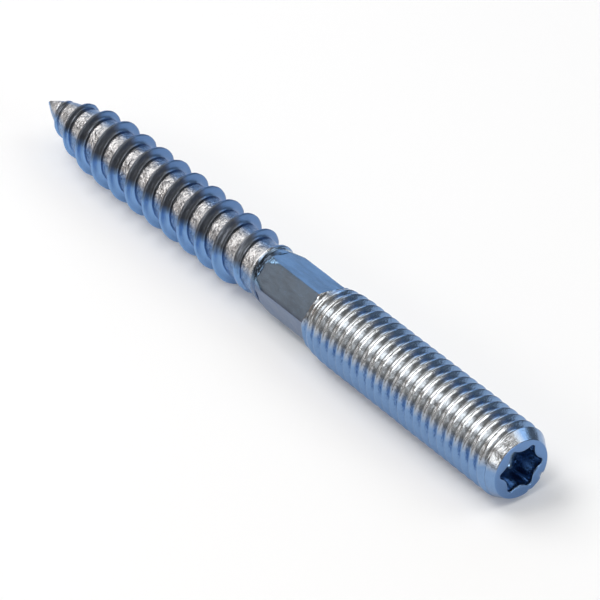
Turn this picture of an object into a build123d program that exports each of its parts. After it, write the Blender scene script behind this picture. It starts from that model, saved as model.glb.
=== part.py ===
"""Hanger bolt: a machine thread with a six-lobe socket, a hexagonal shank and a wood-screw thread.

It lies along X. The machine end's face is at x = 0 and faces +X, the point is at -X, and z = 0 is the surface
that it lies on. Both threads are right-handed.
"""
import os
from math import ceil, cos, pi, radians, sin, sqrt, tan

from build123d import *

# Lengths along the bolt, in mm
machine_length = 31.6
hexagon_length = 6.4
collar_length = 1.8
wood_length = 41.0

# Machine thread
machine_diameter = 7.92
machine_pitch = 1.25
machine_depth = 0.70
machine_crest_flat = 0.15
flank_angle = 30.0
machine_phase = -2.11
end_face_diameter = 6.44
end_chamfer_length = 1.35
run_out_length = 4.4
groove_lift_start = 0.6
lead_start = 1.70
lead_length = 0.75
lead_end = 0.70

# Hexagonal shank, and the collar that leads down from it
hexagon_flats = 5.80
hexagon_corners = 6.66
hexagon_angle = 48.5
flat_ramp = 0.4
flat_into_taper = 0.55
flat_past_corners = 1.4
neck_diameter = 5.90

# Wood thread
wood_diameter = 7.32
wood_core_diameter = 5.44
wood_pitch = 3.10
wood_crest_flat = 0.16
wood_flank_angle = 16.0
root_fillet = 0.36
wood_phase = -47.08
fade_in_turns = 1.0
fade_out_length = 2.1
last_turn_share = 0.38
last_turn_length = 2.4
end_length = 0.6
past_collar = 0.3
core_transition = 1.7
point_length = 12.6
core_point_length = 10.0
point_tip_radius = 0.14
first_thread_from_tip = 1.1
crest_clearance = 0.04
step_to_clear = 0.1

# Six-lobe socket
socket_diameter = 5.12
socket_valley_diameter = 3.94
lobe_radius = 0.42
socket_depth = 3.0
socket_cone_depth = 0.8
socket_angle = 56.3
mouth_chamfer = 0.12

# Smoothness of the helical curves and of the two turned tapers
spans_per_turn = 4
points_per_span = 3
point_cones = 4
run_out_cones = 3
sunk = 0.22

# Places along the bolt that follow from the lengths
hexagon_start = -machine_length
hexagon_end = hexagon_start - hexagon_length
collar_end = hexagon_end - collar_length
wood_start = collar_end
tip = wood_start - wood_length
core_full = wood_start - core_transition
axis_height = max(machine_diameter, wood_diameter) / 2

machine_radius = machine_diameter / 2
machine_root = machine_radius - machine_depth
end_face_radius = end_face_diameter / 2
corner_radius = hexagon_corners / 2
neck_radius = neck_diameter / 2
wood_radius = wood_diameter / 2
core_radius = wood_core_diameter / 2


def arc_radius(length, rise):
    """The radius of an arc that leaves a cylinder tangentially and drops by rise over length."""
    return (length ** 2 + rise ** 2) / (2 * rise)


def arc_drop(distance, length, rise):
    """How far that arc has dropped at a distance from where it leaves the cylinder."""
    radius = arc_radius(length, rise)
    return radius - sqrt(radius ** 2 - distance ** 2)


def core_at(x):
    """Radius of the wood thread's core."""
    if x > core_full:
        part = min((x - core_full) / core_transition, 1.0)
        return core_radius + part * (neck_radius - core_radius)
    distance = max(tip + core_point_length - x, 0.0)
    return core_radius - arc_drop(distance, core_point_length, core_radius - point_tip_radius)


def crest_at(x):
    """Radius of the wood thread's crest, which narrows to the point."""
    distance = max(tip + point_length - x, 0.0)
    return wood_radius - arc_drop(distance, point_length, wood_radius - point_tip_radius)


def body():
    """Everything round, as one turned profile. Its two tapers are short cones along their arcs."""
    point = [tip + core_point_length * k / point_cones for k in range(point_cones + 1)]
    rise = machine_radius - corner_radius
    taper = [run_out_length * k / run_out_cones for k in range(run_out_cones + 1)]
    profile = [(tip, 0)]
    profile += [(x, core_at(x)) for x in point]
    profile += [
        (core_full, core_radius),
        (wood_start, neck_radius),
        (hexagon_end, corner_radius),
    ]
    profile += [
        (hexagon_start + x, machine_radius - arc_drop(run_out_length - x, run_out_length, rise)) for x in taper
    ]
    profile += [(-end_chamfer_length, machine_radius), (0, end_face_radius), (0, 0)]
    return revolve(Plane.XY * Polygon(*profile, align=None), axis=Axis.X)


def flats():
    """What the six flats take off the shank, with a ramp at each end."""
    inner = hexagon_flats / 2
    outer = machine_radius + flat_ramp
    reach = outer - inner
    run = reach * flat_ramp / (corner_radius - inner)
    start = hexagon_start + flat_into_taper
    end = hexagon_end - flat_past_corners
    side = Polygon(
        (end, inner), (start, inner), (start + run, outer), (end - run, outer), align=None
    )
    slab = extrude(Plane.XZ * side, amount=machine_radius, both=True)
    cuts = [Rot(X=hexagon_angle + 30 + 60 * k - 90) * slab for k in range(6)]
    return cuts


def helical_band(section, turns, pitch, start_x, start_angle):
    """A closed solid round the axis. section(turn) gives its corners, as (offset along X, radius).

    Its faces are cut into spans of a part of a turn, which meet smoothly.
    """
    spans = ceil(turns * spans_per_turn)
    ends = [turns * k / spans for k in range(spans + 1)]
    count = len(section(0.0))

    def point(turn, corner):
        angle = radians(start_angle) + 2 * pi * turn
        along, radius = section(turn)[corner]
        return Vector(start_x + pitch * turn + along, radius * cos(angle), radius * sin(angle))

    def slope(turn, corner):
        near = turns * 1e-6
        before = max(turn - near, 0.0)
        after = min(turn + near, turns)
        return (point(after, corner) - point(before, corner)) * (1 / (after - before))

    faces = []
    for first, last in zip(ends, ends[1:]):
        stations = [first + (last - first) * k / points_per_span for k in range(points_per_span + 1)]
        curves = [
            Edge.make_spline(
                [point(turn, corner) for turn in stations],
                tangents=[slope(first, corner), slope(last, corner)],
                parameters=stations,
                scale=False,
            )
            for corner in range(count)
        ]
        for upper, lower in zip(curves, curves[1:] + curves[:1]):
            faces.append(Face.make_surface_from_curves(upper, lower))
    for turn in (0.0, turns):
        ring = [point(turn, corner) for corner in range(count)]
        faces.append(Face(Wire.make_polygon(ring, close=True)))
    return Solid(Shell(faces))


def machine_groove():
    """The groove of the machine thread. It lifts out on the end chamfer and again at the hexagon."""
    slope = tan(radians(flank_angle))
    top = machine_radius + 0.5 * machine_crest_flat / 2 / slope
    half_at_crest = (machine_pitch - machine_crest_flat) / 2
    half_top = half_at_crest + (top - machine_radius) * slope
    half_root = half_at_crest - machine_depth * slope
    # The crest passes the angle 130 at machine_phase, and the groove lies half a pitch from it
    first = machine_phase + machine_pitch / 2
    turns_back = ceil((machine_length + first + 1.2) / machine_pitch)
    start_x = first - turns_back * machine_pitch
    turns = (-lead_end - start_x) / machine_pitch
    lift = machine_depth + 0.6
    lift_x = hexagon_start + groove_lift_start

    def section(turn):
        x = start_x + machine_pitch * turn
        out = lift * max(lift_x - x, 0.0) / (lift_x - start_x)
        out += (machine_depth + 0.05) * (max(x + lead_start, 0.0) / lead_length) ** 2
        return [
            (-half_top, top + out),
            (-half_root, machine_root + out),
            (half_root, machine_root + out),
            (half_top, top + out),
        ]

    return helical_band(section, turns, machine_pitch, start_x, 130)


def thread_start():
    """Where the wood thread begins: at its place behind the tip, or further on where its crest clears the core."""
    x = tip + first_thread_from_tip
    while crest_at(x) < core_at(x) + crest_clearance:
        x += step_to_clear
    return x


def wood_ridge():
    """The wood thread, from near the tip to the hexagon. Its last turn is low and ends within a short way."""
    slope = tan(radians(wood_flank_angle))
    full_height = wood_radius - core_radius
    start_x = thread_start()
    # The crest passes the angle 40 at wood_phase
    start_angle = 40 + 360 * (start_x - wood_phase) / wood_pitch
    end_x = collar_end + past_collar
    low_x = end_x - end_length - last_turn_length
    turns = (end_x - start_x) / wood_pitch

    def section(turn):
        x = start_x + wood_pitch * turn
        grow = min(turn / fade_in_turns, 1.0)
        fall = max(x - low_x + fade_out_length, 0.0) / fade_out_length
        grow = min(grow, max(1 - (1 - last_turn_share) * fall, last_turn_share))
        grow = min(grow, last_turn_share * (turns - turn) * wood_pitch / end_length)
        core = core_at(x)
        height = (crest_at(x) - core) * grow
        share = height / full_height
        crest = wood_crest_flat / 2
        knee_height = root_fillet * share
        knee = crest + (height - knee_height) * slope
        foot = knee + root_fillet * share
        bottom = core - sunk
        top = core - sunk / 3 + height * (1 + sunk / 3 / full_height)
        knee_radius = core - sunk / 3 + knee_height
        return [
            (-foot - crest / 2, bottom),
            (-foot, core - sunk / 3),
            (-knee, knee_radius),
            (-crest, top),
            (crest, top),
            (knee, knee_radius),
            (foot, core - sunk / 3),
            (foot + crest / 2, bottom),
        ]

    return helical_band(section, turns, wood_pitch, start_x, start_angle)


def socket():
    """What the six-lobe socket takes out of the machine end."""
    tip_radius = socket_diameter / 2
    valley = socket_valley_diameter / 2
    lobe_centre = tip_radius - lobe_radius
    between = cos(radians(30))
    # The two arcs of the outline touch each other, which fixes the radius of the inner one
    valley_radius = (lobe_centre ** 2 + valley ** 2 - 2 * lobe_centre * valley * between - lobe_radius ** 2) / (
        2 * (lobe_radius - valley + lobe_centre * between)
    )

    def polar(radius, angle):
        return Vector(radius * cos(radians(angle)), radius * sin(radians(angle)))

    def touch(lobe_angle, valley_angle):
        lobe = polar(lobe_centre, lobe_angle)
        hollow = polar(valley + valley_radius, valley_angle)
        return lobe + (hollow - lobe) * (lobe_radius / (lobe_radius + valley_radius))

    with BuildPart() as cutter:
        with BuildSketch(Plane.YZ):
            with BuildLine():
                for k in range(6):
                    lobe_angle = socket_angle + 60 * k
                    before = touch(lobe_angle, lobe_angle - 30)
                    after = touch(lobe_angle, lobe_angle + 30)
                    following = touch(lobe_angle + 60, lobe_angle + 30)
                    ThreePointArc(before, polar(tip_radius, lobe_angle), after)
                    ThreePointArc(after, polar(valley, lobe_angle + 30), following)
            make_face()
        extrude(amount=-(socket_depth + socket_cone_depth))
        # The floor is a shallow cone
        with BuildSketch(Plane.XY):
            Polygon(
                (0, 0),
                (0, machine_radius),
                (-socket_depth, machine_radius),
                (-socket_depth, tip_radius),
                (-socket_depth - socket_cone_depth, 0),
                align=None,
            )
        revolve(axis=Axis.X, mode=Mode.INTERSECT)
    return cutter.part


def with_socket(blank):
    """The blank with its socket, and the mouth's edge broken."""
    holed = blank.cut(socket())
    mouth = [
        edge
        for edge in holed.edges()
        if abs(edge.center().X) < 0.001 and edge.center().Y ** 2 + edge.center().Z ** 2 < end_face_radius ** 2 * 0.8
    ]
    return holed.chamfer(mouth_chamfer, None, mouth)


def hanger_bolt():
    blank = with_socket(body())
    blank = blank.cut(*flats())
    blank = blank.cut(machine_groove())
    return blank.fuse(wood_ridge())


if __name__ == "__main__":
    os.makedirs("parts", exist_ok=True)
    bolt = hanger_bolt()
    bolt = Pos(0, 0, axis_height) * bolt
    export_step(bolt, "parts/hanger_bolt.step")
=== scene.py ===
"""A zinc-plated hanger bolt lying on a pale floor.

The bolt is one turned and rolled piece. Its skin is a grid of stations along it and columns round it.
The stations follow each thread's helix, so that the crests and roots stay crisp. Its shape is worked out
in millimetres and put in the scene in metres.
"""
from math import ceil, cos, pi, radians, sin, sqrt, tan

import bmesh
import bpy
import numpy as np
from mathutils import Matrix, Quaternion, Vector, noise


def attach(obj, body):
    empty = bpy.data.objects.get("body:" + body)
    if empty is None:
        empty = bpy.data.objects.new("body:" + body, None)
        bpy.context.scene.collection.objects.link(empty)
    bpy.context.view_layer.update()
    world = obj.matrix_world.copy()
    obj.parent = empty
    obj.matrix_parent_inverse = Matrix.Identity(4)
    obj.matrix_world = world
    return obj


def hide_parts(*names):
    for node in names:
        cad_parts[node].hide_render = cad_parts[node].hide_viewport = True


MM = 0.001

# Lengths along the bolt, from the machine end's face towards the point
MACHINE_LENGTH = 31.6
HEXAGON_LENGTH = 6.4
COLLAR_LENGTH = 1.8
OVERALL_LENGTH = 80.8

# Machine thread
MACHINE_RADIUS = 3.96
MACHINE_PITCH = 1.25
MACHINE_DEPTH = 0.70
MACHINE_CREST_FLAT = 0.15
MACHINE_FLANK = radians(30)
MACHINE_PHASE = -2.11
MACHINE_PHASE_ANGLE = 130
END_FACE_RADIUS = 3.22
END_CHAMFER_LENGTH = 1.35
RUN_OUT_LENGTH = 4.4
GROOVE_LIFT_START = 0.6
GROOVE_LIFT_RATE = 0.4355
LEAD_START = 1.70
LEAD_LENGTH = 0.75

# Hexagonal shank, and the collar that leads down from it
HEXAGON_INNER = 2.90
HEXAGON_CORNER = 3.33
HEXAGON_ANGLE = 48.5
FLAT_RAMP = 0.4
FLAT_INTO_TAPER = 0.55
FLAT_PAST_CORNERS = 1.4
NECK_RADIUS = 2.95

# Wood thread
WOOD_RADIUS = 3.66
WOOD_CORE = 2.72
WOOD_PITCH = 3.10
WOOD_CREST_FLAT = 0.16
WOOD_FLANK = radians(16)
ROOT_FILLET = 0.36
WOOD_PHASE = -47.08
WOOD_PHASE_ANGLE = 40
FADE_IN_TURNS = 1.0
FADE_OUT_LENGTH = 2.1
LAST_TURN_SHARE = 0.38
LAST_TURN_LENGTH = 2.4
END_LENGTH = 0.6
PAST_COLLAR = 0.3
CORE_TRANSITION = 1.7
POINT_LENGTH = 12.6
CORE_POINT_LENGTH = 10.0
POINT_TIP_RADIUS = 0.14
FIRST_THREAD_FROM_TIP = 1.1
BLUNT_LENGTH = 7.0

# Six-lobe socket
SOCKET_RADIUS = 2.56
SOCKET_VALLEY = 1.97
LOBE_RADIUS = 0.42
SOCKET_DEPTH = 3.0
SOCKET_CONE = 0.8
SOCKET_ANGLE = 56.5
MOUTH_EDGE = 0.10

# The columns of the skin start at this angle, so that one runs along each corner of the hexagon
FIRST_COLUMN = 0.5
COLUMNS = 120

HEXAGON_START = -MACHINE_LENGTH
HEXAGON_END = HEXAGON_START - HEXAGON_LENGTH
COLLAR_END = HEXAGON_END - COLLAR_LENGTH
WOOD_START = COLLAR_END
TIP = -OVERALL_LENGTH
CORE_FULL = WOOD_START - CORE_TRANSITION
# Where the skin changes from the wood thread's stations to the shank's
JOIN = COLLAR_END + 0.5
# Where the threads' stations end, next to the tip and next to the end face
TIP_EDGE = TIP + 0.06
FACE_EDGE = -0.04
SHANK_STATIONS = 18
NEARLY_NOTHING = 0.0001

# How far the surface strays from true, and how closely its waves follow one another
SUNK = 0.02
SWELL = 0.022
SWELL_PER_MM = 0.55
WOOD_SWELL = 0.03
WOOD_SWELL_PER_MM = 1.6

# How far the ends lie off the bolt's axis, and towards which angle
END_SHIFT = 0.16
SOCKET_SHIFT = 0.10
END_SHIFT_ANGLE = 240
WOOD_SHIFT = 0.15
WOOD_SHIFT_ANGLE = 220
WOOD_SHIFT_START = -50
WOOD_SHIFT_LENGTH = 18

# Nicks in the end face's rim, each with its angle and size
NICKS = ((325, 0.34), (290, 0.2))

# Angles round the axis, from +Y towards +Z
# The angle round which the bolt's top is painted paler, as painted highlight
LIT_TOP_ANGLE = 126
BENEATH_ANGLE = 220
LOW_FLAT_ANGLE = 200

# Colours of the zinc. A pair holds the two shades that a surface runs between.
SMOOTH = ((0.21, 0.34, 0.56, 1), (0.15, 0.26, 0.46, 1))
# Paler, greyer shades for the top of the bolt: painted highlight
SMOOTH_TOP_HIGHLIGHT = ((0.54, 0.56, 0.58, 1), (0.42, 0.44, 0.46, 1))
PITTED = ((0.24, 0.37, 0.58, 1), (0.15, 0.25, 0.43, 1))
# Paler shades for the pits along the top of the bolt: painted highlight
PITTED_TOP_HIGHLIGHT = ((0.68, 0.67, 0.67, 1), (0.28, 0.28, 0.29, 1))
# Painted shade for the wood thread's flanks, lighter beneath the bolt as a painted reflection of the floor
FLANK_SIDES_SHADE = ((0.11, 0.21, 0.42, 1), (0.20, 0.36, 0.64, 1))
# Darker painted shade for the flanks along the top of the bolt
FLANK_TOP_SHADE = (0.08, 0.09, 0.11, 1)
SHANK = ((0.20, 0.33, 0.50, 1), (0.16, 0.26, 0.39, 1))
# Painted shade on the shank's low flat
SHANK_LOW_FLAT_SHADE = (0.11, 0.17, 0.29, 1)
# Painted shade along the top of the collar
COLLAR_TOP_SHADE = (0.055, 0.075, 0.105, 1)
# A darker blue on the end face: painted shade
END_FACE_SHADE = (0.14, 0.25, 0.47, 1)
# Painted shade inside the socket
IN_SOCKET_SHADE = (0.17, 0.27, 0.42, 1)

LAMP_DISTANCE = 0.6


class Value:
    """A number socket in a node tree. Sums and products of values add the Math nodes that work them out."""

    def __init__(self, shader, socket):
        self.shader = shader
        self.socket = socket

    def with_other(self, operation, other, reflected=False, clamp=False):
        pair = [self, other]
        if reflected:
            pair.reverse()
        inputs = {place: item for place, item in enumerate(pair)}
        settings = {"operation": operation, "use_clamp": clamp}
        return self.shader.add("ShaderNodeMath", settings, inputs)

    def __add__(self, other):
        return self.with_other("ADD", other)

    __radd__ = __add__

    def __sub__(self, other):
        return self.with_other("SUBTRACT", other)

    def __rsub__(self, other):
        return self.with_other("SUBTRACT", other, reflected=True)

    def __mul__(self, other):
        return self.with_other("MULTIPLY", other)

    __rmul__ = __mul__

    def __truediv__(self, other):
        return self.with_other("DIVIDE", other)

    def __pow__(self, other):
        return self.with_other("POWER", other)

    def __mod__(self, other):
        return self.with_other("FLOORED_MODULO", other)

    def size(self):
        """Its absolute value."""
        return self.at_least(0 - self)

    def at_least(self, other):
        return self.with_other("MAXIMUM", other)

    def clamped(self):
        return self.with_other("MULTIPLY", 1.0, clamp=True)

    def ramp(self, start, end):
        """0 below start, 1 above end, and a straight line between."""
        return ((self - start) / (end - start)).clamped()


class Shader:
    """The node tree of one material or of the world."""

    def __init__(self, owner):
        owner.use_nodes = True
        self.tree = owner.node_tree
        self.tree.nodes.clear()

    def add(self, kind, settings=None, inputs=None, output=0):
        """Adds a node, sets it up, then gives its sockets values or links. Returns one of its outputs."""
        node = self.tree.nodes.new(kind)
        for name, setting in (settings or {}).items():
            setattr(node, name, setting)
        for name, item in (inputs or {}).items():
            if isinstance(item, Value):
                self.tree.links.new(item.socket, node.inputs[name])
            else:
                node.inputs[name].default_value = item
        if not node.outputs:
            return node
        return Value(self, node.outputs[output])

    def mix_colours(self, factor, first, second):
        settings = {"data_type": "RGBA"}
        inputs = {"Factor": factor, 6: first, 7: second}
        return self.add("ShaderNodeMix", settings, inputs, output=2)

    def noise(self, place, scale, detail=2.0, roughness=0.5):
        inputs = {"Vector": place, "Scale": scale, "Detail": detail, "Roughness": roughness}
        return self.add("ShaderNodeTexNoise", {}, inputs, output="Fac")


def blend_low(a, b, width):
    """The lower of two heights, rounded where they cross."""
    share = np.clip(0.5 + 0.5 * (b - a) / width, 0, 1)
    return b * (1 - share) + a * share - width * share * (1 - share)


def blend_high(a, b, width):
    return -blend_low(-a, -b, width)


def arc_drop(distance, length, rise):
    """How far an arc has dropped that leaves a cylinder and falls by rise over length."""
    radius = (length ** 2 + rise ** 2) / (2 * rise)
    return radius - np.sqrt(radius ** 2 - np.clip(distance, 0, length) ** 2)


def wood_core_at(x):
    neck_share = np.clip((x - CORE_FULL) / CORE_TRANSITION, 0, 1)
    neck_share = neck_share * neck_share * (3 - 2 * neck_share)
    drop = arc_drop(TIP + CORE_POINT_LENGTH - x, CORE_POINT_LENGTH, WOOD_CORE - POINT_TIP_RADIUS)
    return WOOD_CORE + neck_share * (NECK_RADIUS - WOOD_CORE) - drop


def wood_crest_at(x):
    return WOOD_RADIUS - arc_drop(TIP + POINT_LENGTH - x, POINT_LENGTH, WOOD_RADIUS - POINT_TIP_RADIUS)


def from_crest(x, angle, phase, phase_angle, pitch):
    """How far along the bolt a place lies from the nearest crest of a thread."""
    turns = (x - phase) / pitch - (angle - phase_angle) / 360
    return (turns - np.round(turns)) * pitch


def wood_radius_at(x, angle):
    """The wood thread, its neck and its point."""
    offset = from_crest(x, angle, WOOD_PHASE, WOOD_PHASE_ANGLE, WOOD_PITCH)
    crest_x = x - offset
    start = TIP + FIRST_THREAD_FROM_TIP
    end = COLLAR_END + PAST_COLLAR
    low = end - END_LENGTH - LAST_TURN_LENGTH
    grow = np.clip((crest_x - start) / WOOD_PITCH / FADE_IN_TURNS, 0, 1)
    fall = np.maximum(crest_x - low + FADE_OUT_LENGTH, 0) / FADE_OUT_LENGTH
    grow = np.minimum(grow, np.maximum(1 - (1 - LAST_TURN_SHARE) * fall, LAST_TURN_SHARE))
    grow = np.clip(np.minimum(grow, LAST_TURN_SHARE * (end - crest_x) / END_LENGTH), 0, 1)
    core = wood_core_at(x)
    height = np.maximum(wood_crest_at(crest_x) - wood_core_at(crest_x), 0) * grow
    share = height / (WOOD_RADIUS - WOOD_CORE)
    away = np.abs(offset)
    slope = tan(WOOD_FLANK)
    # The first turn behind the point is blunt
    blunt = np.clip(1 - (crest_x - TIP) / BLUNT_LENGTH, 0, 1)
    # The last turn, which is low, swells softly
    swell = np.clip((crest_x - low + 0.8) / 0.8, 0, 1)
    crest = WOOD_CREST_FLAT / 2 + 0.3 * blunt + 0.2 * swell
    flank = height - (away - crest) / slope
    knee = crest + (height - ROOT_FILLET * share) * slope
    reach = np.maximum(ROOT_FILLET * share, 0.001)
    past_knee = np.clip((away - knee) / reach, 0, 1)
    fillet = ROOT_FILLET * share * (1 - past_knee) ** 2
    ridge = np.where(away < knee, blend_low(flank, height, 0.05 + 0.45 * blunt + 0.3 * swell), fillet)
    thread = core + np.maximum(ridge, 0)
    joined = blend_high(thread, shank_radius_at(x, angle), 0.15)
    return np.where(x > COLLAR_END - 0.4, joined, thread)


def flat_radius_at(x, angle):
    """The six flats, which end in a ramp at both ends of the shank."""
    from_flat = np.abs((angle - HEXAGON_ANGLE) % 60 - 30)
    start = HEXAGON_START + FLAT_INTO_TAPER
    end = HEXAGON_END - FLAT_PAST_CORNERS
    past_flat = np.maximum(np.maximum(x - start, end - x), 0)
    ramp = past_flat * (HEXAGON_CORNER - HEXAGON_INNER) / FLAT_RAMP
    return (HEXAGON_INNER + ramp) / np.cos(np.radians(from_flat))


def shank_radius_at(x, angle):
    """The hexagon with its rounded corners, and the collar that leads down to the neck."""
    collar = np.clip((x - COLLAR_END) / COLLAR_LENGTH, 0, 1)
    round_body = NECK_RADIUS + collar * (HEXAGON_CORNER - NECK_RADIUS)
    return blend_low(round_body, flat_radius_at(x, angle), 0.02)


def machine_radius_at(x, angle):
    """The machine thread with its run-out and its end chamfer."""
    offset = from_crest(x, angle, MACHINE_PHASE, MACHINE_PHASE_ANGLE, MACHINE_PITCH)
    groove_x = x - offset + np.where(offset > 0, 0.5, -0.5) * MACHINE_PITCH
    flank = MACHINE_RADIUS - (np.abs(offset) - MACHINE_CREST_FLAT / 2) / tan(MACHINE_FLANK)
    root = MACHINE_RADIUS - MACHINE_DEPTH
    lift = GROOVE_LIFT_RATE * np.maximum(HEXAGON_START + GROOVE_LIFT_START - groove_x, 0)
    lift += (MACHINE_DEPTH + 0.05) * (np.maximum(groove_x + LEAD_START, 0) / LEAD_LENGTH) ** 2
    thread = blend_high(flank, np.full_like(flank, root), 0.16) + lift
    full_at = HEXAGON_START + RUN_OUT_LENGTH
    drop = arc_drop(full_at - x, RUN_OUT_LENGTH, MACHINE_RADIUS - HEXAGON_CORNER)
    chamfer_slope = (MACHINE_RADIUS - END_FACE_RADIUS) / END_CHAMFER_LENGTH
    chamfer = np.clip(x + END_CHAMFER_LENGTH, 0, None) * chamfer_slope
    envelope = np.minimum(MACHINE_RADIUS - drop - chamfer, flat_radius_at(x, angle))
    return np.minimum(blend_low(thread, envelope, 0.06), envelope)


def helical_stations(pitch, phase, offsets, low, high):
    """Places along the bolt at the angle of a crest, with the same offsets in each turn."""
    first = ceil((low - pitch - phase) / pitch) - 1
    last = ceil((high + pitch - phase) / pitch) + 1
    return [phase + pitch * k + offset for k in range(first, last) for offset in offsets]


def mirrored(offsets, pitch):
    """Offsets on both sides of a crest, and the place midway between two crests."""
    return [-offset for offset in reversed(offsets)] + list(offsets) + [pitch / 2]


class Skin:
    """The closed skin of the bolt, as rings of points that are joined in turn."""

    def __init__(self):
        self.angles = FIRST_COLUMN + np.arange(COLUMNS + 1) * 360 / COLUMNS
        self.points = []
        self.faces = []

    def add_points(self, x, radius):
        """x and radius hold a row for each station and an entry for each column. Returns the first index."""
        first = len(self.points)
        turn = np.radians(self.angles[:-1])[None, :]
        rows = np.stack([x, radius * np.cos(turn), radius * np.sin(turn)], axis=-1)
        self.points.extend(rows.reshape(-1, 3).tolist())
        return first

    def zone(self, low, high, stations, per_turn, pitch, phase_angle, radius_at):
        """A stretch of skin. Its stations move along by one pitch, which is per_turn of them, in a turn."""
        shear = pitch * (self.angles[:-1] - phase_angle) / 360
        x = np.clip(np.array(sorted(stations))[:, None] + shear[None, :], low, high)
        angle = np.broadcast_to(self.angles[:-1][None, :], x.shape)
        first = self.add_points(x, radius_at(x, angle))
        count = len(stations)
        for column in range(COLUMNS):
            following = (column + 1) % COLUMNS
            step = per_turn if following == 0 else 0
            for row in range(count - 1):
                if 0 <= row + step < count - 1:
                    a = first + row * COLUMNS + column
                    b = first + (row + step) * COLUMNS + following
                    self.faces.append((a, b, b + COLUMNS, a + COLUMNS))

    def rings(self, places):
        """Rings at one place each, given as (x, radius), where radius is a number or a row of numbers."""
        x = np.array([np.full(COLUMNS, place) for place, _ in places])
        radius = np.array([np.broadcast_to(size, COLUMNS) for _, size in places])
        first = self.add_points(x, radius)
        for row in range(len(places) - 1):
            for column in range(COLUMNS):
                following = (column + 1) % COLUMNS
                a = first + row * COLUMNS + column
                b = first + row * COLUMNS + following
                self.faces.append((a, b, b + COLUMNS, a + COLUMNS))


def socket_outline(angles):
    """Distance from the axis to the socket's wall, with round lobes and rounder hollows between them."""
    lobe_centre = SOCKET_RADIUS - LOBE_RADIUS
    between = cos(radians(30))
    hollow_radius = (
        lobe_centre ** 2 + SOCKET_VALLEY ** 2 - 2 * lobe_centre * SOCKET_VALLEY * between - LOBE_RADIUS ** 2
    ) / (2 * (LOBE_RADIUS - SOCKET_VALLEY + lobe_centre * between))
    hollow_centre = SOCKET_VALLEY + hollow_radius
    # The lobe and the hollow meet where their arcs touch
    touch_share = LOBE_RADIUS / (LOBE_RADIUS + hollow_radius)
    touch_x = lobe_centre + (hollow_centre * between - lobe_centre) * touch_share
    touch_y = hollow_centre * sin(radians(30)) * touch_share
    distances = []
    for angle in angles:
        from_lobe = radians(abs((angle - SOCKET_ANGLE + 30) % 60 - 30))
        from_hollow = radians(30) - from_lobe
        off_lobe = lobe_centre * sin(from_lobe)
        off_hollow = hollow_centre * sin(from_hollow)
        if tan(from_lobe) <= touch_y / touch_x:
            distance = lobe_centre * cos(from_lobe) + sqrt(LOBE_RADIUS ** 2 - off_lobe ** 2)
        else:
            distance = hollow_centre * cos(from_hollow) - sqrt(hollow_radius ** 2 - off_hollow ** 2)
        distances.append(distance)
    return np.array(distances)


def add_body(skin):
    """The wood thread, the plain shank and the machine thread."""
    offsets = [0.03, WOOD_CREST_FLAT / 2, 0.13, 0.19, 0.25, 0.32, 0.40, 0.50, 0.61, 0.75, 0.95, 1.2, 1.4]
    offsets = mirrored(offsets, WOOD_PITCH)
    stations = helical_stations(WOOD_PITCH, WOOD_PHASE, offsets, TIP_EDGE, JOIN)
    skin.zone(TIP_EDGE, JOIN, stations, len(offsets), WOOD_PITCH, WOOD_PHASE_ANGLE, wood_radius_at)

    stations = np.linspace(JOIN, HEXAGON_START, SHANK_STATIONS)
    skin.zone(JOIN, HEXAGON_START, stations, 0, 0, 0, shank_radius_at)

    offsets = [0.03, MACHINE_CREST_FLAT / 2, 0.12, 0.22, 0.32, 0.41, 0.48, 0.55]
    offsets = mirrored(offsets, MACHINE_PITCH)
    stations = helical_stations(MACHINE_PITCH, MACHINE_PHASE, offsets, HEXAGON_START, FACE_EDGE)
    skin.zone(
        HEXAGON_START, FACE_EDGE, stations, len(offsets),
        MACHINE_PITCH, MACHINE_PHASE_ANGLE, machine_radius_at,
    )


def add_steps(skin):
    """The low steps in which the flats meet the neck and the machine thread's round run-out."""
    angles = skin.angles[:-1]
    for place, one_side, other_side in (
        (JOIN, wood_radius_at, shank_radius_at),
        (HEXAGON_START, shank_radius_at, machine_radius_at),
    ):
        at_place = np.full(COLUMNS, place)
        skin.rings([(place, one_side(at_place, angles)), (place, other_side(at_place, angles))])


def add_tip(skin):
    """The blunt end of the point."""
    edge = wood_radius_at(np.full(COLUMNS, TIP_EDGE), skin.angles[:-1])
    skin.rings([(TIP, NEARLY_NOTHING), (TIP, 0.08), (TIP + 0.02, 0.12), (TIP_EDGE, edge)])


def add_end_face(skin):
    """The machine end's face with its rounded rim, and the socket with its cone."""
    angles = skin.angles[:-1]
    wall = socket_outline(angles)
    edge = machine_radius_at(np.full(COLUMNS, FACE_EDGE), angles)
    rim = edge - 0.07
    mouth = wall + MOUTH_EDGE
    places = [(FACE_EDGE, edge), (-0.015, edge - 0.03), (0, rim)]
    places += [(0, mouth + (rim - mouth) * share) for share in (0.66, 0.33, 0.0)]
    places += [(-MOUTH_EDGE * 0.3, wall + MOUTH_EDGE * 0.35), (-MOUTH_EDGE, wall)]
    places += [(-SOCKET_DEPTH * share, wall) for share in (0.2, 0.4, 0.6, 0.8)]
    for share in (1.0, 0.75, 0.5, 0.25, NEARLY_NOTHING):
        cone = SOCKET_CONE * (1 - wall * share / SOCKET_RADIUS)
        places.append((-SOCKET_DEPTH - cone, wall * share))
    skin.rings(places)


def bolt_skin():
    skin = Skin()
    add_body(skin)
    add_steps(skin)
    add_tip(skin)
    add_end_face(skin)
    return skin


def waves(point, per_mm):
    """A smooth noise between about -1 and 1."""
    return noise.noise(Vector(point) * per_mm)


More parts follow.
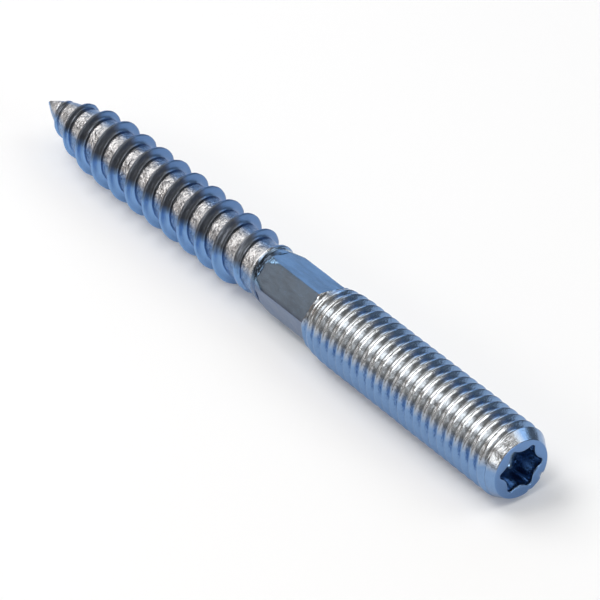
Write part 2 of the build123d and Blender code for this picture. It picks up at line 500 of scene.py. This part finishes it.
def unevenness(point):
    """How far the rolled and plated surface strays from true, in millimetres."""
    x, y, z = point
    swell = SWELL * waves(point, SWELL_PER_MM)
    if x < JOIN:
        swell += WOOD_SWELL * waves(point, WOOD_SWELL_PER_MM)
    near_face = min(1.0, max(0.0, -x / 0.5))
    near_tip = min(1.0, (x - TIP) / 2.0)
    near_axis = min(1.0, sqrt(y * y + z * z) / 2)
    return swell * near_face * near_tip * near_axis


def off_axis(x):
    """How far the bolt's ends lie off its axis, in millimetres, and towards which angle."""
    if x > -END_CHAMFER_LENGTH:
        return END_SHIFT * min(1.0, (x + END_CHAMFER_LENGTH) / END_CHAMFER_LENGTH), END_SHIFT_ANGLE
    share = min(1.0, max(0.0, (WOOD_SHIFT_START - x) / WOOD_SHIFT_LENGTH))
    return WOOD_SHIFT * share * share * (3 - 2 * share), WOOD_SHIFT_ANGLE


def nick_depth(point):
    """How far the nicks in the end face's rim reach into the bolt, in millimetres."""
    x, y, z = point
    depth = 0.0
    if x < -1.0 or sqrt(y * y + z * z) < 2.6:
        return depth
    for angle, size in NICKS:
        away_y = y - END_FACE_RADIUS * cos(radians(angle))
        away_z = z - END_FACE_RADIUS * sin(radians(angle))
        away = sqrt(x * x + away_y * away_y + away_z * away_z)
        depth = max(depth, 0.8 * size * (1 - away / size))
    return depth


def finished_place(point):
    """Where a point of the true skin ends up, in metres, once it is uneven, nicked and off the axis."""
    x, y, z = point
    radius = sqrt(y * y + z * z)
    in_socket = x > -SOCKET_DEPTH - SOCKET_CONE and radius < END_FACE_RADIUS - 0.2
    scale = 1.0
    if not in_socket and radius > 0.3:
        scale += min(unevenness(point) - SUNK, 0.0) / radius
    nick = nick_depth(point)
    scale -= 0.5 * nick / END_FACE_RADIUS
    shift, towards = (SOCKET_SHIFT, END_SHIFT_ANGLE) if in_socket else off_axis(x)
    y = y * scale + shift * cos(radians(towards))
    z = z * scale + shift * sin(radians(towards))
    return (x - nick) * MM, y * MM, (z + MACHINE_RADIUS) * MM


def weld(mesh):
    """Joins the zones of the skin and smooths it, apart from the edges between the shank's flats."""
    form = bmesh.new()
    form.from_mesh(mesh)
    bmesh.ops.remove_doubles(form, verts=form.verts, dist=2e-6)
    bmesh.ops.dissolve_degenerate(form, edges=form.edges, dist=1e-7)
    bmesh.ops.recalc_face_normals(form, faces=form.faces)
    for face in form.faces:
        face.smooth = True
    for edge in form.edges:
        middle_x = (edge.verts[0].co.x + edge.verts[1].co.x) / 2 / MM
        on_shank = COLLAR_END < middle_x < HEXAGON_START + 2
        if on_shank and edge.calc_face_angle(0) > radians(20):
            edge.smooth = False
    form.to_mesh(mesh)
    form.free()


def make_bolt():
    skin = bolt_skin()
    mesh = bpy.data.meshes.new("bolt")
    mesh.from_pydata([finished_place(point) for point in skin.points], [], skin.faces)
    weld(mesh)
    bolt = bpy.data.objects.new("bolt", mesh)
    bpy.context.scene.collection.objects.link(bolt)
    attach(bolt, "root")
    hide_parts("hanger_bolt")
    return bolt


class Surface:
    """Where a point of the bolt's surface lies, and the noises that its finish is made of."""

    def __init__(self, shader):
        self.place = shader.add("ShaderNodeTexCoord", output="Object")
        parts = shader.add("ShaderNodeSeparateXYZ", {}, {"Vector": self.place}).socket.node
        self.along = Value(shader, parts.outputs["X"])
        self.across = Value(shader, parts.outputs["Y"])
        self.height = Value(shader, parts.outputs["Z"]) - MACHINE_RADIUS * MM
        self.radius = (self.across * self.across + self.height * self.height) ** 0.5
        self.grain = shader.noise(self.place, 1150, 3.0, 0.6)
        self.cloud = shader.noise(self.place, 260, 2.0, 0.5)
        self.speckle = shader.noise(self.place, 3400, 3.0, 0.6)

    def past(self, start, end):
        """0 nearer the tip than start, 1 nearer the end face than end. Both are in millimetres."""
        return self.along.ramp(start * MM, end * MM)

    def towards(self, angle):
        """1 where the surface lies towards an angle round the axis, 0 a quarter turn away, -1 opposite."""
        turn = radians(angle)
        return (self.across * cos(turn) + self.height * sin(turn)) / self.radius

    def off_wood_crest(self):
        """How far a point lies from the nearest crest of the wood thread, in millimetres along the bolt."""
        turn = self.height.with_other("ARCTAN2", self.across) * (1 / (2 * pi)) - WOOD_PHASE_ANGLE / 360
        # The hundred turns keep the number positive, and the half turn puts a crest in the middle
        turns = (self.along * (1 / MM) - WOOD_PHASE) * (1 / WOOD_PITCH) - turn + 100.5
        return ((turns % 1.0) - 0.5).size() * WOOD_PITCH


def thread_colour(shader, at, top, pitted, flank):
    """The zinc on both threads. Along the top of the bolt its shades are paler and greyer, which is painted
    highlight, and the flanks of the wood thread are darkened with painted shade.
    """
    cloudy = (at.cloud * 0.5 + at.speckle.ramp(0.42, 0.62) * 0.25).clamped()
    spots = (at.grain * 0.5 + at.speckle * 0.5).ramp(0.42, 0.60)
    smooth_sides = shader.mix_colours(cloudy, *SMOOTH)
    smooth_top_highlight = shader.mix_colours(cloudy, *SMOOTH_TOP_HIGHLIGHT)
    pitted_sides = shader.mix_colours(spots, *PITTED)
    pitted_top_highlight = shader.mix_colours(spots, *PITTED_TOP_HIGHLIGHT)
    # Painted shade on the flanks, lighter towards beneath the bolt as a painted reflection of the floor
    flank_shade_sides = shader.mix_colours(at.towards(BENEATH_ANGLE).ramp(-0.2, 0.5), *FLANK_SIDES_SHADE)
    # Painted highlight: the paler shades are mixed in along the top of the bolt
    colour = shader.mix_colours(top, smooth_sides, smooth_top_highlight)
    colour = shader.mix_colours(pitted, colour, shader.mix_colours(top, pitted_sides, pitted_top_highlight))
    shaded = shader.mix_colours(top, flank_shade_sides, FLANK_TOP_SHADE)
    return shader.mix_colours((flank * 0.9).clamped(), colour, shaded)


def shank_colour(shader, at):
    """Faint marks that run along the shank, and a darker low flat, which is painted shade."""
    drawn = shader.add("ShaderNodeMapping", {}, {"Vector": at.place, "Scale": (0.25, 1, 1)})
    marks = shader.noise(drawn, 900, 3.0, 0.6).ramp(0.44, 0.62)
    plain = shader.mix_colours(marks, *SHANK)
    return shader.mix_colours(at.towards(LOW_FLAT_ANGLE).ramp(0.80, 0.86), plain, SHANK_LOW_FLAT_SHADE)


def zinc_plating():
    """Bright zinc, smooth on the machine thread and pitted between the wood thread's crests."""
    material = bpy.data.materials.new("bright_zinc")
    shader = Shader(material)
    at = Surface(shader)
    off_crest = at.off_wood_crest()
    full_thread = 1 - at.past(COLLAR_END - 2.8, COLLAR_END - 2.0)
    # The wood thread's flanks, which are darkened with painted shade and made rougher
    flank = full_thread * (1 - off_crest.ramp(0.52, 0.82))
    wood = 1 - at.past(COLLAR_END - 1.1, COLLAR_END - 0.5)
    pitted = wood * (1 - full_thread + off_crest.ramp(0.50, 0.85)).clamped()
    # The top of the bolt, which gets painted highlight in paler shades
    top = (at.towards(LIT_TOP_ANGLE) + (at.cloud - 0.5) * 0.15).ramp(0.72, 0.90)
    colour = thread_colour(shader, at, top, pitted, flank)

    shank_end = HEXAGON_START + FLAT_INTO_TAPER
    shank = at.past(COLLAR_END - 0.6, COLLAR_END - 0.1) * (1 - at.past(shank_end - 0.1, shank_end))
    colour = shader.mix_colours(shank, colour, shank_colour(shader, at))
    # Painted shade: the collar is darker along the top of the bolt
    flats_end = HEXAGON_END - FLAT_PAST_CORNERS
    collar = shank * (1 - at.past(flats_end - 0.1, flats_end + 0.1))
    colour = shader.mix_colours(collar * top, colour, COLLAR_TOP_SHADE)

    # Painted shade inside the socket
    bottom = -SOCKET_DEPTH - SOCKET_CONE
    within = 1 - at.radius.ramp((SOCKET_RADIUS + 0.16) * MM, (SOCKET_RADIUS + 0.24) * MM)
    colour = shader.mix_colours(at.past(bottom - 0.3, bottom - 0.1) * within, colour, IN_SOCKET_SHADE)
    # Painted shade: the end face is darker
    colour = shader.mix_colours(at.past(-0.05, -0.01), colour, END_FACE_SHADE)

    rough = 0.17 + 0.08 * at.cloud + 0.12 * pitted + 0.12 * flank
    lumps = at.grain * (0.16 + 1.10 * pitted) + at.speckle * (0.06 + 0.50 * pitted)
    bump_inputs = {"Height": lumps, "Strength": 1.0, "Distance": 0.00025}
    bump = shader.add("ShaderNodeBump", {}, bump_inputs, output="Normal")
    zinc_inputs = {"Base Color": colour, "Metallic": 1.0, "Roughness": rough, "Normal": bump}
    zinc = shader.add("ShaderNodeBsdfPrincipled", {}, zinc_inputs)
    shader.add("ShaderNodeOutputMaterial", {}, {"Surface": zinc})
    return material


def floor_material():
    """White where the camera, gloss and glass see it, with the bolt's shadow kept."""
    material = bpy.data.materials.new("white_floor")
    shader = Shader(material)
    rays = shader.add("ShaderNodeLightPath")
    path = rays.socket.node
    camera = Value(shader, path.outputs["Is Camera Ray"])
    glossy = Value(shader, path.outputs["Is Glossy Ray"])
    glass = Value(shader, path.outputs["Is Transmission Ray"])
    seen = camera.at_least(glossy).at_least(glass)
    matt = shader.add("ShaderNodeBsdfDiffuse", {}, {"Color": (0.88, 0.88, 0.88, 1)})
    glow = shader.add("ShaderNodeEmission", {}, {"Color": (1, 1, 1, 1), "Strength": 0.08})
    both = shader.add("ShaderNodeAddShader", {}, {0: matt, 1: glow})
    surface = shader.add("ShaderNodeMixShader", {}, {0: seen, 1: matt, 2: both})
    shader.add("ShaderNodeOutputMaterial", {}, {"Surface": surface})
    return material


def make_floor():
    mesh = bpy.data.meshes.new("floor")
    reach = 3.0
    corners = [(-reach, -reach, 0), (reach, -reach, 0), (reach, reach, 0), (-reach, reach, 0)]
    mesh.from_pydata(corners, [], [(0, 1, 2, 3)])
    mesh.materials.append(floor_material())
    floor = bpy.data.objects.new("floor", mesh)
    bpy.context.scene.collection.objects.link(floor)


def area_lamp(name, towards, size, radiance, colour=(1, 1, 1), roll=0):
    """A soft box that stands in a direction from the bolt's middle and faces it."""
    lamp = bpy.data.lights.new(name, "AREA")
    lamp.shape = "RECTANGLE"
    lamp.size, lamp.size_y = size
    lamp.energy = radiance * pi * size[0] * size[1]
    lamp.color = colour
    holder = bpy.data.objects.new(name, lamp)
    bpy.context.scene.collection.objects.link(holder)
    middle = Vector((-0.035, 0, 0.004))
    direction = Vector(towards).normalized()
    holder.location = middle + direction * LAMP_DISTANCE
    facing = direction.to_track_quat("Z", "Y") @ Quaternion((0, 0, 1), radians(roll))
    holder.rotation_euler = facing.to_euler()


def make_lights():
    area_lamp("soft_box", (-0.656, -0.107, 0.747), (0.36, 0.32), 3.2)
    area_lamp("overhead_box", (-0.317, -0.40, 0.86), (0.22, 0.30), 4.6)
    area_lamp("low_box", (-0.317, -0.82, 0.47), (0.16, 0.12), 4.0)
    area_lamp("strip_box", (0.29, -0.19, 0.94), (0.54, 0.12), 2.5, roll=32)
    area_lamp("side_box", (0.30, -0.87, 0.38), (0.12, 0.26), 2.5)
    area_lamp("fill_box", (0.35, 0.60, 0.72), (0.35, 0.35), 1.6, (0.90, 0.96, 1.0))
    area_lamp("end_box", (0.963, 0.118, 0.242), (0.34, 0.15), 5.0)
    area_lamp("far_card", (-0.663, 0.667, 0.34), (0.50, 0.36), 0.74, (0.50, 0.70, 1.0))
    area_lamp("front_card", (-0.66, -0.63, 0.41), (0.20, 0.16), 0.50, (1.0, 0.56, 0.36))
    area_lamp("back_card", (-0.932, 0.19, 0.31), (0.07, 0.07), 2.5)
    area_lamp("cone_box", (0.32, -0.50, 0.80), (0.14, 0.16), 2.0)
    world = bpy.data.worlds.new("studio")
    bpy.context.scene.world = world
    shader = Shader(world)
    surface = shader.add("ShaderNodeBackground", {}, {"Color": (1.0, 0.93, 0.86, 1), "Strength": 0.23})
    shader.add("ShaderNodeOutputWorld", {}, {"Surface": surface})


def make_camera():
    """The photograph's view, worked out from the threads' crests and the outline."""
    azimuth, elevation = radians(53.80), radians(34.79)
    distance = 0.46042
    target = Vector((-0.03505, -0.0005, MACHINE_RADIUS * MM))
    image_width = 600
    focal_length_in_pixels = 4600.8
    data = bpy.data.cameras.new("camera")
    data.sensor_width = 36
    data.lens = focal_length_in_pixels / image_width * data.sensor_width
    camera = bpy.data.objects.new("camera", data)
    bpy.context.scene.collection.objects.link(camera)
    back = Vector((sin(azimuth) * cos(elevation), -cos(azimuth) * cos(elevation), sin(elevation)))
    camera.location = target + back * distance
    camera.rotation_euler = back.to_track_quat("Z", "Y").to_euler()
    bpy.context.scene.camera = camera


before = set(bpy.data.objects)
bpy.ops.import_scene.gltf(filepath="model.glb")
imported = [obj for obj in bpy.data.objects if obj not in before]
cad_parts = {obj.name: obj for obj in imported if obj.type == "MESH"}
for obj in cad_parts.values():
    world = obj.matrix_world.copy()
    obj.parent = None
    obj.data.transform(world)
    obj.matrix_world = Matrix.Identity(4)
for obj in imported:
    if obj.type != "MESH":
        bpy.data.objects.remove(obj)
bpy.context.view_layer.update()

bolt = make_bolt()
bolt.data.materials.append(zinc_plating())
make_floor()
make_lights()
make_camera()

bpy.context.scene.view_settings.view_transform = "Standard"
